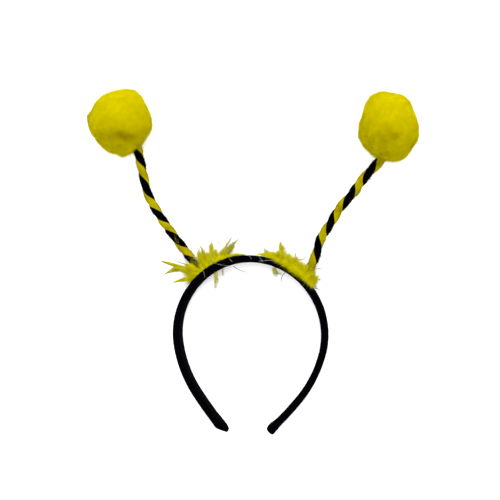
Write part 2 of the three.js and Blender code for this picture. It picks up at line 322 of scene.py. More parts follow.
def silverMaterial():
    # fine silver thread with a slightly uneven polish
    material, tree, shader = newMaterial("silverThread", 0.3, 0.5)
    worn = objectNoise(tree, silverFinish["wearScale"])
    colour = mixColours(tree, worn, silverFinish["wornColour"], silverFinish["brightColour"])
    # the loose threads are tarnished and have lost their shine
    own = attribute(tree, "own")
    colour = mixColours(tree, own, colour, silverFinish["tarnishColour"])
    tree.links.new(mapRange(tree, own, 0, 1, 1, 0), shader.inputs["Metallic"])
    tree.links.new(colour, shader.inputs["Base Color"])
    rough = mapRange(tree, worn, 0.3, 0.7, 0.2, 0.45)
    tree.links.new(rough, shader.inputs["Roughness"])
    return material


yellowPile = pileMaterial("yellowPile")
yellowStrand = pileMaterial("yellowStrand")
blackStrand = pileMaterial("blackStrand")
yellowDown = pileMaterial("yellowDown")
bandCloth = clothMaterial()
silverThread = silverMaterial()
print("stage: materials made")

# headband


def bandLine(distance):
    # Place and outward direction on the band's middle line at distances from the crown's top:
    # on an arc of radius r that starts turned by a, a further turn t moves the place by
    # r (sin(a + t) - sin a) sideways and r (cos(a + t) - cos a) up.
    left = np.abs(distance)
    hand = np.where(distance < 0, -1.0, 1.0)
    turned = np.zeros_like(left)
    x = np.zeros_like(left)
    y = np.zeros_like(left)
    for index, (bend, sweep) in enumerate(headband["arcs"]):
        radius = bend * headband["crownRadius"]
        isLast = index == len(headband["arcs"]) - 1
        turn = np.clip(left / radius, 0, np.inf if isLast else math.radians(sweep))
        x = x + radius * (np.sin(turned + turn) - np.sin(turned))
        y = y + radius * (np.cos(turned + turn) - np.cos(turned))
        turned = turned + turn
        left = left - turn * radius
    place = np.stack([hand * x + bandTop.x, y + bandTop.y], -1)
    out = np.stack([hand * np.sin(turned), np.cos(turned)], -1)
    return place, out


def bandOutline(perCorner=7, perFlat=(5, 9)):
    # A rounded rectangle as four numbers for each point: which side of the middle it lies on
    # across and up, and how far round the corner it is; flats run evenly between two corners.
    rows = []
    signs = [(1, 1), (1, -1), (-1, -1), (-1, 1)]
    for quarter, (right, top) in enumerate(signs):
        bend = (quarter + np.linspace(0, 1, perCorner)) * math.pi / 2
        corner = np.stack(
            [np.full(perCorner, right), np.full(perCorner, top), np.sin(bend), np.cos(bend)],
            -1,
        )
        nextRight, nextTop = signs[(quarter + 1) % 4]
        end = corner[-1]
        start = np.array([nextRight, nextTop, end[2], end[3]])
        share = np.linspace(0, 1, perFlat[(quarter + 1) % 2] + 2)[1:-1, None]
        rows += [corner, end + (start - end) * share]
    return np.concatenate(rows)


def makeHeadband():
    # The outline carried along the middle line. Near each tip the width shrinks along a circle
    # and the cloth swells and pleats; a low seam runs down the middle of the inner face.
    arcs = headband["arcs"]
    length = sum(b * headband["crownRadius"] * math.radians(s) for b, s in arcs)
    rounding = headband["tipRounding"]
    ends = rounding * (1 - np.cos(np.linspace(0, math.pi / 2, 12)[:-1]))
    middle = np.linspace(rounding - length, length - rounding, headband["stations"])
    distance = np.concatenate([ends - length, middle, (length - ends)[::-1]])
    place, out = bandLine(distance)
    toTip = length - np.abs(distance)
    inside = np.clip(1 - toTip / rounding, 0, 1)
    narrowed = rounding * (1 - np.sqrt(1 - inside**2))
    folded = 1 - smoothStep(toTip, 0, headband["tipFold"])
    thickness = headband["thickness"] + 2 * headband["cloth"]
    thickness = thickness + headband["tipSwell"] * (folded - 0.5 * inside)
    swelling = 1 - smoothStep(toTip, 0, headband["swellReach"])
    thickness = thickness + np.where(distance < 0, *headband["endSwell"]) * swelling
    width = headband["width"] - 2 * narrowed
    outline = bandOutline()
    corner = headband["corner"]
    across = outline[:, 0] * (thickness[:, None] / 2 - corner) + corner * outline[:, 2]
    up = outline[:, 1] * (width[:, None] / 2 - corner) + corner * outline[:, 3]
    isLeft = distance < 0
    outerRound = np.where(isLeft, *headband["endRound"])[:, None]
    innerRound = np.where(isLeft, *headband["innerEndRound"])[:, None]
    endRound = np.where(across < 0, innerRound, outerRound)
    nearEnd = np.clip(1 - toTip[:, None] / endRound, 0, 1)
    thinned = 1 - headband["endThinning"] * (1 - np.sqrt(1 - nearEnd**2))
    nearFold = smoothStep(-toTip, -headband["foldReach"], 0)[:, None]
    # cloth relief, kept off the lower edge that lies on the table
    onInner = smoothStep(-across, 0.6 * headband["thickness"] / 2, headband["thickness"] / 2)
    seam = np.exp(-((up / headband["seamWidth"]) ** 2)) * onInner
    fine, coarse, slant = headband["waves"]
    wave = np.sin(distance[:, None] * fine + slant * up) * np.sin(distance[:, None] * coarse)
    pleat = np.cos(headband["pleats"] * np.arctan2(up, across * 2)) * folded[:, None] ** 2
    offFloor = smoothStep(-up, headband["width"] / 2, headband["width"] / 2 - 2 * mm)
    lift = headband["waveDepth"] * wave + headband["pleatDepth"] * (pleat - 1)
    across = across + (np.sign(across) * lift - headband["seamHeight"] * seam) * offFloor
    across = across * thinned
    # the tip is moved along the band's own heading there, its inner edge further if it is slanted
    hand = np.where(isLeft, -1, 1)[:, None]
    further = np.where(isLeft, *headband["endReach"])[:, None]
    further = (further - np.where(isLeft, *headband["endSlant"])[:, None] * across) * nearFold
    points = np.stack(
        [
            place[:, None, 0] + out[:, None, 0] * across + hand * out[:, None, 1] * further,
            place[:, None, 1] + out[:, None, 1] * across - hand * out[:, None, 0] * further,
            headband["width"] / 2 - up,
        ],
        -1,
    )
    rows, columns = across.shape
    body = points.reshape(-1, 3)
    caps = np.stack([points[0].mean(0), points[-1].mean(0)])
    faces = tubeFaces(rows, columns)
    piece = meshFrom("headbandCloth", np.concatenate([body, caps]), faces)
    # the cloth's own measure, in metres along and round
    around = np.linspace(0, 2 * (headband["width"] + headband["thickness"]), columns)
    measure = np.stack(np.broadcast_arrays(distance[:, None], around[None, :]), -1)
    measure = np.concatenate([measure.reshape(-1, 2), [[-length, 0], [length, 0]]])
    layer = piece.data.uv_layers.new(name="cloth")
    corners = np.zeros(len(piece.data.loops), np.int32)
    piece.data.loops.foreach_get("vertex_index", corners)
    layer.data.foreach_set("uv", measure[corners].astype(np.float32).ravel())
    piece.data.materials.append(bandCloth)
    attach(piece, "root")
    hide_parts("headband")


makeHeadband()
print("stage: headband made")

# fibres


def fibreMesh(roots, ahead, curl, length, width, steps=1, blunt=0.0):
    # Tapered fibres with three flat sides. At a share s of its length a fibre's middle is
    # root + length (s ahead + s^2 curl). Its three edges stand width (1 - s + blunt s) / 2 from
    # there, a third of a circle apart, and meet at the tip.
    count = len(roots)
    share = (np.arange(steps) / steps)[None, :, None]
    reach = length[:, None, None]
    middle = roots[:, None] + reach * (share * ahead[:, None] + share**2 * curl[:, None])
    tip = roots + length[:, None] * (ahead + curl)
    heading = unit(ahead[:, None] + 2 * share * curl[:, None])
    first = unit(np.cross(heading, random.normal(size=(count, 1, 3))))
    second = np.cross(heading, first)
    turn = (2 * math.pi * np.arange(3) / 3)[:, None]
    ring = first[:, :, None] * np.cos(turn) + second[:, :, None] * np.sin(turn)
    half = 0.5 * width[:, None, None] * (1 - share + blunt * share)
    edges = middle[:, :, None] + half[..., None] * ring
    points = np.concatenate([edges.reshape(count, -1, 3), tip[:, None]], 1)
    perFibre = 3 * steps + 1
    start = (np.arange(count) * perFibre)[:, None, None]
    step = (np.arange(steps - 1) * 3)[None, :, None]
    side, following = np.arange(3), (np.arange(3) + 1) % 3
    quads = np.stack(
        np.broadcast_arrays(
            start + step + side,
            start + step + following,
            start + step + 3 + following,
            start + step + 3 + side,
        ),
        -1,
    ).reshape(-1, 4)
    last = start[:, 0] + 3 * (steps - 1)
    ends = np.stack(
        np.broadcast_arrays(last + side, last + following, start[:, 0] + perFibre - 1), -1
    ).reshape(-1, 3)
    along = np.concatenate([np.repeat(np.arange(steps) / steps, 3), [1.0]])
    return points.reshape(-1, 3), quads, ends, along


def joined(name, parts):
    # several (points, face arrays, along, own, normals) made into one object
    offset = 0
    faces = {3: [], 4: []}
    for points, faceSets, *_ in parts:
        for f in faceSets:
            if len(f):
                faces[f.shape[1]].append(f + offset)
        offset += len(points)
    sets = [np.concatenate(f) for f in faces.values() if f]
    piece = meshFrom(name, np.concatenate([p[0] for p in parts]), sets)
    addShare(piece, "along", np.concatenate([p[2] for p in parts]))
    addShare(piece, "own", np.concatenate([p[3] for p in parts]))
    piece.data.normals_split_custom_set_from_vertices(
        np.concatenate([p[4] for p in parts]).astype(np.float32)
    )
    print("  ", name, sum(len(f) * (f.shape[1] - 2) for f in sets), "triangles")
    return piece


def fibrePart(roots, ahead, curl, length, width, normals, own, steps=1, span=(0.0, 1.0)):
    # fibres as one part of a joined object; span is the colour's share at their roots and tips
    points, quads, ends, along = fibreMesh(roots, ahead, curl, length, width, steps)
    low, high = (np.broadcast_to(edge, len(roots))[:, None] for edge in span)
    return (
        points,
        [quads, ends],
        (low + (high - low) * along).ravel(),
        np.repeat(own, len(along)),
        np.repeat(unit(normals), len(along), axis=0),
    )


# stems


leftStem = {
    "hand": -1,
    # along and aside: shares of the line from the foot to the pompom's centre; rise: share of
    # the climb from mid-band to that centre
    "bends": [
        (0.1, 0.016, 0.03), (0.243, 0.04, 0.14), (0.4, 0.059, 0.32), (0.556, 0.06, 0.52),
        (0.655, 0.033, 0.65), (0.753, 0.001, 0.78), (0.84, -0.025, 0.88),
    ],
    "pitch": 24.3 * mm,
    "firstUp": 0.37,
    # along the stem, how far the colours' edges stand ahead of an even twist, both in mm
    "ahead": [
        (0, 1), (16, 2.3), (26.5, -0.3), (41, 2.5), (51, -0.3), (61.5, -0.8), (73.5, -1.7),
        (88, 1.1), (99, 0.1), (110, -0.6),
    ],
    # loose fibres: whose they are, place along in mm, degrees round from the top, count
    "strays": [("yellow", 32, -5, 13), ("yellow", 12, 15, 10), ("black", 9, -10, 12)],
    "pompom": (-106.7 * mm, 100.7 * mm, 0.985 * 25.4 * mm),
}
rightStem = {
    "hand": 1,
    "bends": [
        (0.048, 0.002, 0.01), (0.145, -0.008, 0.05), (0.256, -0.032, 0.14), (0.366, -0.025, 0.27),
        (0.473, -0.02, 0.41), (0.578, 0.004, 0.55), (0.682, 0.0165, 0.69), (0.796, 0.046, 0.83),
        (0.864, 0.061, 0.9),
    ],
    "pitch": 22.6 * mm,
    "firstUp": 0.13,
    "ahead": [
        (0, 0), (18, -1.5), (31, 1), (40.6, -1.2), (51.6, -1.1), (64, -0.7), (78, 2.2), (87, 0.1),
        (101, 3),
    ],
    "strays": [("black", 103, 5, 26), ("black", 8, 20, 20), ("black", 42, 30, 10)],
    "pompom": (99 * mm, 99.4 * mm, 0.985 * 25.4 * mm),
}
strand = {
    "footAngle": 42,
    "gap": 0.3 * mm,
    "footRise": 3 * mm,
    "radius": 3 * mm,
    "offset": 0.6 * mm,
    "stepsPerTurn": 40,
    "sides": 28,
    "pileDepth": 0.12 * mm,
    "swell": 0.05,
    "swellEvery": 2.6 * mm,
    "fibres": 14000,
    "tuft": 0.8 * mm,
    "tuftLean": 0.45,
    "fibreLength": 1.05 * mm,
    "fibreWidth": 0.16 * mm,
}


def onCrown(hand, degrees, above):
    # place and outward direction on the band's outer face, by the angle from the crown's top
    angle = np.radians(np.asarray(degrees, float))
    out = np.stack([hand * np.sin(angle), np.cos(angle), np.zeros_like(angle)], -1)
    radius = headband["crownRadius"] + headband["thickness"] / 2 + above
    centre = np.array([bandTop.x, bandTop.y - headband["crownRadius"], headband["width"] / 2])
    return centre + out * np.asarray(radius)[..., None], out


def stemLine(stem, samples=1200):
    # A centripetal Catmull-Rom curve through the foot and the bends: each stretch is the cubic
    # between two points whose end slopes come from their neighbours, with each stretch timed by
    # the square root of its length. Returned at even distances, with its slopes.
    hand = stem["hand"]
    foot, out = onCrown(hand, strand["footAngle"], strand["gap"])
    centre = np.array(stem["pompom"]) + np.array([bandTop.x, bandTop.y, 0])
    ahead = (centre - foot) * [1, 1, 0]
    aside = np.array([hand * ahead[1], -hand * ahead[0], 0])
    climb = np.array([0, 0, centre[2] - foot[2]])
    bends = np.array(stem["bends"])
    points = foot + bends[:, :1] * ahead + bends[:, 1:2] * aside + bends[:, 2:] * climb
    points = np.concatenate([[foot, foot + out * strand["footRise"]], points])
    before = np.concatenate([[2 * points[0] - points[1]], points, [2 * points[-1] - points[-2]]])
    gaps = np.linalg.norm(np.diff(before, axis=0), axis=1)[:, None] ** 0.5
    p0, p1, p2, p3 = before[:-3], before[1:-2], before[2:-1], before[3:]
    d0, d1, d2 = gaps[:-2], gaps[1:-1], gaps[2:]
    m1 = d1 * ((p1 - p0) / d0 - (p2 - p0) / (d0 + d1) + (p2 - p1) / d1)
    m2 = d1 * ((p2 - p1) / d1 - (p3 - p1) / (d1 + d2) + (p3 - p2) / d2)
    s = np.linspace(0, 1, 80)[None, :, None]
    p1, p2, m1, m2 = (a[:, None, :] for a in (p1, p2, m1, m2))
    fine = (
        (2 * s**3 - 3 * s**2 + 1) * p1
        + (s**3 - 2 * s**2 + s) * m1
        + (3 * s**2 - 2 * s**3) * p2
        + (s**3 - s**2) * m2
    )
    fine = np.concatenate([fine[:, :-1].reshape(-1, 3), fine[-1, -1:]])
    run = np.concatenate([[0], np.cumsum(np.linalg.norm(np.diff(fine, axis=0), axis=1))])
    even = np.linspace(0, run[-1], samples)
    line = between(even, run, fine)
    slope = unit(np.gradient(line, axis=0))
    return even, line, slope


def strandFrame(stem, distance, turn):
    # place, and the two directions across the stem turned by an angle round it
    even, line, slope = stemLine(stem)
    place = between(distance, even, line)
    tangent = unit(between(distance, even, slope))
    across = unit(np.cross(tangent, [0, 0, 1]))
    up = np.cross(across, tangent)
    cos, sin = np.cos(turn)[..., None], np.sin(turn)[..., None]
    return place, across * cos - up * sin, up * cos + across * sin, tangent


def unevenTwist(stem, distance):
    # The angle by which the twist runs ahead: a circle for each pitch of the table's distance
    # ahead, which is eased from one row of the table to the next.
    at, ahead = np.array(stem["ahead"], float).T * mm
    row = np.clip(np.searchsorted(at, distance) - 1, 0, len(at) - 2)
    share = smoothStep(distance, at[row], at[row + 1])
    return 2 * math.pi * (ahead[row] * (1 - share) + ahead[row + 1] * share) / stem["pitch"]


def strayPart(stem, at, around, count):
    # Loose fibres that lie along the stem on top of both strands, gathered round one place.
    distance = at + 1.7 * mm * random.normal(size=count)
    turn = around + 0.3 * random.normal(size=count)
    place, across, up, tangent = strandFrame(stem, distance, turn)
    roots = place + up * (strand["offset"] + strand["radius"] + 0.02 * mm)
    way = random.choice([-1, 1], (count, 1))
    ahead = unit(way * tangent + 0.5 * across * random.normal(size=(count, 1)) + 0.12 * up)
    curl = 0.15 * random.normal(size=(count, 3))
    length = 2.6 * strand["fibreLength"] * random.uniform(0.5, 1, count)
    width = 1.4 * strand["fibreWidth"] * random.uniform(0.6, 1, count)
    own = random.uniform(0.5, 1, count)
    return fibrePart(roots, ahead, curl, length, width, up, own, 1, (0, 0.8))


def makeStrand(stem, name, firstUp, material, slotName):
    # One strand: a round rod, flattened where it meets the other strand, wound left-handed along
    # the stem. Its outline turns by minus one circle for each pitch of distance.
    even = stemLine(stem)[0]
    length = even[-1]
    pitch = stem["pitch"]
    turns = length / pitch
    rows = int(turns * strand["stepsPerTurn"])
    columns = strand["sides"]
    distance = np.linspace(0, length, rows)
    turn = 2 * math.pi * (firstUp - distance / pitch) + unevenTwist(stem, distance)
    place, across, up, tangent = strandFrame(stem, distance, turn)
    flat = strand["offset"] - strand["gap"] / 2
    wrap = math.pi - math.acos(flat / strand["radius"])
    bend = wrap * (2 * np.arange(columns) / (columns - 1) - 1)
    radius = strand["radius"] - strand["pileDepth"]
    thick = radius * (1 + strand["swell"] * np.sin(distance / strand["swellEvery"] + firstUp))
    a = thick[:, None] * np.sin(bend)
    b = strand["offset"] + thick[:, None] * np.cos(bend)
    points = place[:, None] + across[:, None] * a[..., None] + up[:, None] * b[..., None]
    normals = across[:, None, :] * np.sin(bend)[None, :, None]
    normals = normals + up[:, None, :] * np.cos(bend)[None, :, None]
    body = points.reshape(-1, 3)
    middle = place[[0, -1]] + up[[0, -1]] * strand["offset"]
    # the rod takes the colour half way from root to tip, darker as painted shade under the pile
    base = (
        np.concatenate([body, middle]),
        tubeFaces(rows, columns),
        np.full(len(body) + 2, 0.5),
        np.full(len(body) + 2, 0.5),
        np.concatenate([normals.reshape(-1, 3), [-tangent[0], tangent[-1]]]),
    )
    # pile: roots spread over the round side, leaning at random and a little along the stem
    count = strand["fibres"]
    rootDistance = random.uniform(0, length, count)
    rootTurn = 2 * math.pi * (firstUp - rootDistance / pitch) + unevenTwist(stem, rootDistance)
    place, across, up, tangent = strandFrame(stem, rootDistance, rootTurn)
    bend = random.uniform(-wrap, wrap, count)[:, None]
    out = across * np.sin(bend) + up * np.cos(bend)
    roots = place + up * strand["offset"] + out * (radius - 0.1 * mm)
    # fibres stand in small tufts of uneven length and lean, which makes the edge ragged
    tuft = (rootDistance / strand["tuft"]).astype(int) * 9 + (bend[:, 0] * 2 + 4).astype(int)
    lean = strand["tuftLean"] * random.normal(size=(tuft.max() + 1, 3))[tuft]
    ahead = unit(0.8 * out + lean + 0.35 * random.normal(size=(count, 3)) + 0.4 * tangent)
    curl = 0.3 * random.normal(size=(count, 3))
    size = strand["fibreLength"] * random.uniform(0.5, 1, count)
    size = size * random.uniform(0.4, 1.6, tuft.max() + 1)[tuft]
    # fibres near the flat side are shorter, so that they stay in their own room
    size = size * (0.35 + 0.65 * smoothStep(wrap - np.abs(bend[:, 0]), 0.0, 0.7))
    width = strand["fibreWidth"] * random.uniform(0.7, 1.2, count)
    own = random.uniform(0, 1, count)
    pile = fibrePart(roots, ahead, curl, size, width, out, own, 1, (0.3, 1))
    strays = [row[1:] for row in stem["strays"] if row[0] in slotName]
    loose = [strayPart(stem, at * mm, math.radians(turn), number) for at, turn, number in strays]
    piece = joined(name, [base, pile, *loose])
    piece.data.materials.append(material)
    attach(piece, "root")
    return piece


for stem, side in ((leftStem, "left"), (rightStem, "right")):
    blackUp = stem["firstUp"]
    piece = makeStrand(
        stem, side + "YellowStrand", blackUp + 0.5, yellowStrand, "yellow_chenille"
    )
    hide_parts("stem_" + side + "_yellow")
    piece = makeStrand(stem, side + "BlackStrand", blackUp, blackStrand, "black_chenille")
    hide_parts("stem_" + side + "_black")
print("stage: stems made")

# pompoms


pompom = {
    "radius": 25.4 * mm,
    "tuftRadius": 13 * mm,
    "blend": 1.1 * mm,
    "pileDepth": 1.1 * mm,
    "rows": 60,
    "columns": 110,
    "fibres": 52000,
    "clumps": 1000,
    "clumpLean": 1.6,
    "scatter": 0.42,
    "curl": 0.25,
    "fibreLength": 2.5 * mm,
    "fibreWidth": 0.24 * mm,
    # rings of tufts: slope up from the middle, turn of the first, reach of each as a share
    "left": [
        (-90, 0, [1]),
        (-48, 20, [0.96, 0.98, 0.95, 0.97, 0.95]),
        (0, 0, [1.02, 1.01, 1.12, 1.04, 1.04, 1.05, 0.94, 0.97, 1.0, 0.93]),
        (48, 54, [1.0, 0.96, 0.98, 0.94, 0.97]),
        (90, 0, [0.96]),
    ],
    # smaller lumps and hollows in the pile: turn, slope, width in degrees, height in mm
    "leftLumps": [
        (16, 0, 9, 0.8), (50, 0, 8, 1.4), (66, 0, 7, 1), (98, 0, 8, 0.6), (126, 5, 9, 1.4),
        (145, 0, 9, 0.7), (168, 5, 9, 2.6), (100, 0, 40, 0.6), (276, 0, 8, 2.2),
        (324, 0, 9, -0.5), (309, 40, 10, -1.5), (296, 53, 10, -1.4), (320, 26, 9, -1),
        (264, 54, 9, -0.8), (236, 46, 8, -0.6), (290, 32, 9, 0.7), (200, 40, 12, 0.7),
        (100, 45, 12, 0.7),
    ],
    "right": [
        (-90, 0, [1]),
        (-48, 60, [0.96, 0.88, 0.94, 0.95, 0.9]),
        (0, 0, [0.84, 0.83, 1.0, 1.08, 0.93, 0.88, 0.91, 0.97, 1.04, 0.93]),
        (48, 18, [0.86, 0.97, 0.88, 0.93, 0.96]),
        (90, 0, [0.95]),
    ],
    "rightLumps": [
        (18, 0, 9, -1.6), (36, 0, 8, -1), (72, 0, 8, 0.6), (108, 0, 8, 0.7), (124, 5, 9, 1.3),
        (136, 0, 7, 1.3), (158, 0, 9, -3.1), (198, 0, 8, 1.2), (234, 0, 8, -1.3),
        (256, 0, 9, -0.8), (276, 0, 8, -0.7), (321, 0, 7, -1.1), (302, 58, 10, -0.8),
        (276, 66, 9, -0.5), (248, 52, 9, -0.9), (224, 40, 8, -0.7), (80, 55, 12, 0.8),
        (250, 45, 12, 0.7),
    ],
}


def tuftCentres(rings):
    rows = []
    for lift, first, reach in rings:
        turn = np.radians(first + 360 * np.arange(len(reach)) / len(reach))
        slope = math.radians(lift)
        out = pompom["radius"] * np.array(reach) - pompom["tuftRadius"]
        rows.append(out[:, None] * direction(turn, slope))
    return np.concatenate(rows)


def pompomReach(directions, centres, lumps):
    # How far the pompom reaches along each direction: a ray from its middle leaves a tuft with
    # centre c and radius r at d.c + sqrt(r^2 - |c|^2 + (d.c)^2), and the tufts are blended by
    # the logarithm of a sum of exponentials. Each lump adds its height times exp(-angle^2 / w^2),
    # with angle measured from the lump's own direction.
    dots = directions @ centres.T
    inside = pompom["tuftRadius"] ** 2 - (centres**2).sum(-1) + dots**2
    leave = np.where(inside > 0, dots + np.sqrt(np.maximum(inside, 0)), -1)
    most = leave.max(-1, keepdims=True)
    blend = pompom["blend"]
    reach = most[:, 0] + blend * np.log(np.exp((leave - most) / blend).sum(-1)) - 0.5 * blend
    turn, slope, wide, high = np.array(lumps, float).T
    towards = direction(np.radians(turn), np.radians(slope))
    apart = np.arccos(np.clip(directions @ towards.T, -1, 1))
    share = np.exp(-((apart / np.radians(wide)) ** 2))
    # how deep each direction lies in the hollows, which paints shade there later
    shadedHollowDepth = (share * np.maximum(-high, 0)).sum(-1)
    return reach + (share * high).sum(-1) * mm, shadedHollowDepth


def ballDirections(rows, columns):
    # directions all over a ball on a grid of latitude and longitude
    latitude = np.linspace(-math.pi / 2, math.pi / 2, rows + 2)[1:-1, None]
    longitude = np.linspace(0, 2 * math.pi, columns, endpoint=False)[None, :]
    return direction(longitude, latitude).reshape(-1, 3)


def evenDirections(count):
    # directions spread evenly over a ball by the golden angle, each shifted a little at random
    index = np.arange(count) + 0.5
    up = 1 - 2 * index / count
    turn = index * math.pi * (3 - math.sqrt(5))
    flat = np.sqrt(1 - up**2)
    spread = np.stack([flat * np.cos(turn), flat * np.sin(turn), up], -1)
    return unit(spread + random.normal(size=(count, 3)) * 1.2 / math.sqrt(count))


def makePompom(side, stem):
    centres = tuftCentres(pompom[side])
    middle = np.array(stem["pompom"]) + np.array([bandTop.x, bandTop.y, 0])
    rows, columns = pompom["rows"], pompom["columns"]
    directions = ballDirections(rows, columns)
    directions = np.concatenate([directions, [[0, 0, -1], [0, 0, 1]]])
    reach, shadedHollowDepth = pompomReach(directions, centres, pompom[side + "Lumps"])
    reach = reach - pompom["pileDepth"]
    points = middle + directions * reach[:, None]
    points[:, 2] = np.maximum(points[:, 2], 0.4 * mm)
    # the shell takes the colour near the roots, darker as painted shade under the pile
    rootShare = np.full(len(points), 0.3)
    # the shell is darker in the hollows: painted shade
    base = (points, tubeFaces(rows, columns), rootShare, 0.5 + 0.5 * shadedHollowDepth, directions)
    # pile: each fibre leans towards the middle of the clump that it stands in
    count = pompom["fibres"]
    out = evenDirections(count)
    reach, shadedHollowDepth = pompomReach(out, centres, pompom[side + "Lumps"])
    reach = reach - pompom["pileDepth"]
    clumpCount = pompom["clumps"]
    clumps = evenDirections(clumpCount)
    nearest = (out @ clumps.T).argmax(-1)
    lean = clumps[nearest] - out
    scatter = pompom["scatter"] * random.normal(size=(count, 3))
    ahead = unit(0.8 * out + pompom["clumpLean"] * lean + scatter)
    curl = pompom["curl"] * random.normal(size=(count, 3))
    roots = middle + out * (reach - 0.3 * mm)[:, None]
    length = pompom["fibreLength"] * random.uniform(0.55, 1, count)
    width = pompom["fibreWidth"] * random.uniform(0.6, 1.3, count)
    own = 0.5 * random.uniform(0, 1, count) + 0.3 * random.normal(size=clumpCount)[nearest]
    # deep in the hollows the share rises, also past one: painted shade in the creases
    own = np.clip(np.clip(own, 0, 1) + 1.2 * shadedHollowDepth, 0, 2)
    # the pile is smooth above and rougher below, where hands hold it
    rough = 0.07 + 0.13 * smoothStep(-out[:, 1:2], -0.1, 0.6)
    facing = out + rough * random.normal(size=(clumpCount, 3))[nearest]
    pile = fibrePart(roots, ahead, curl, length, width, facing, own, 1, (0.2, 1))
    pile[0][:, 2] = np.maximum(pile[0][:, 2], 0.02 * mm)
    piece = joined(side + "Pompom", [base, pile])
    piece.data.materials.append(yellowPile)
    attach(piece, "root")
    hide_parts("pompom_" + side)


makePompom("left", leftStem)
makePompom("right", rightStem)
print("stage: pompoms made")

# feather trims

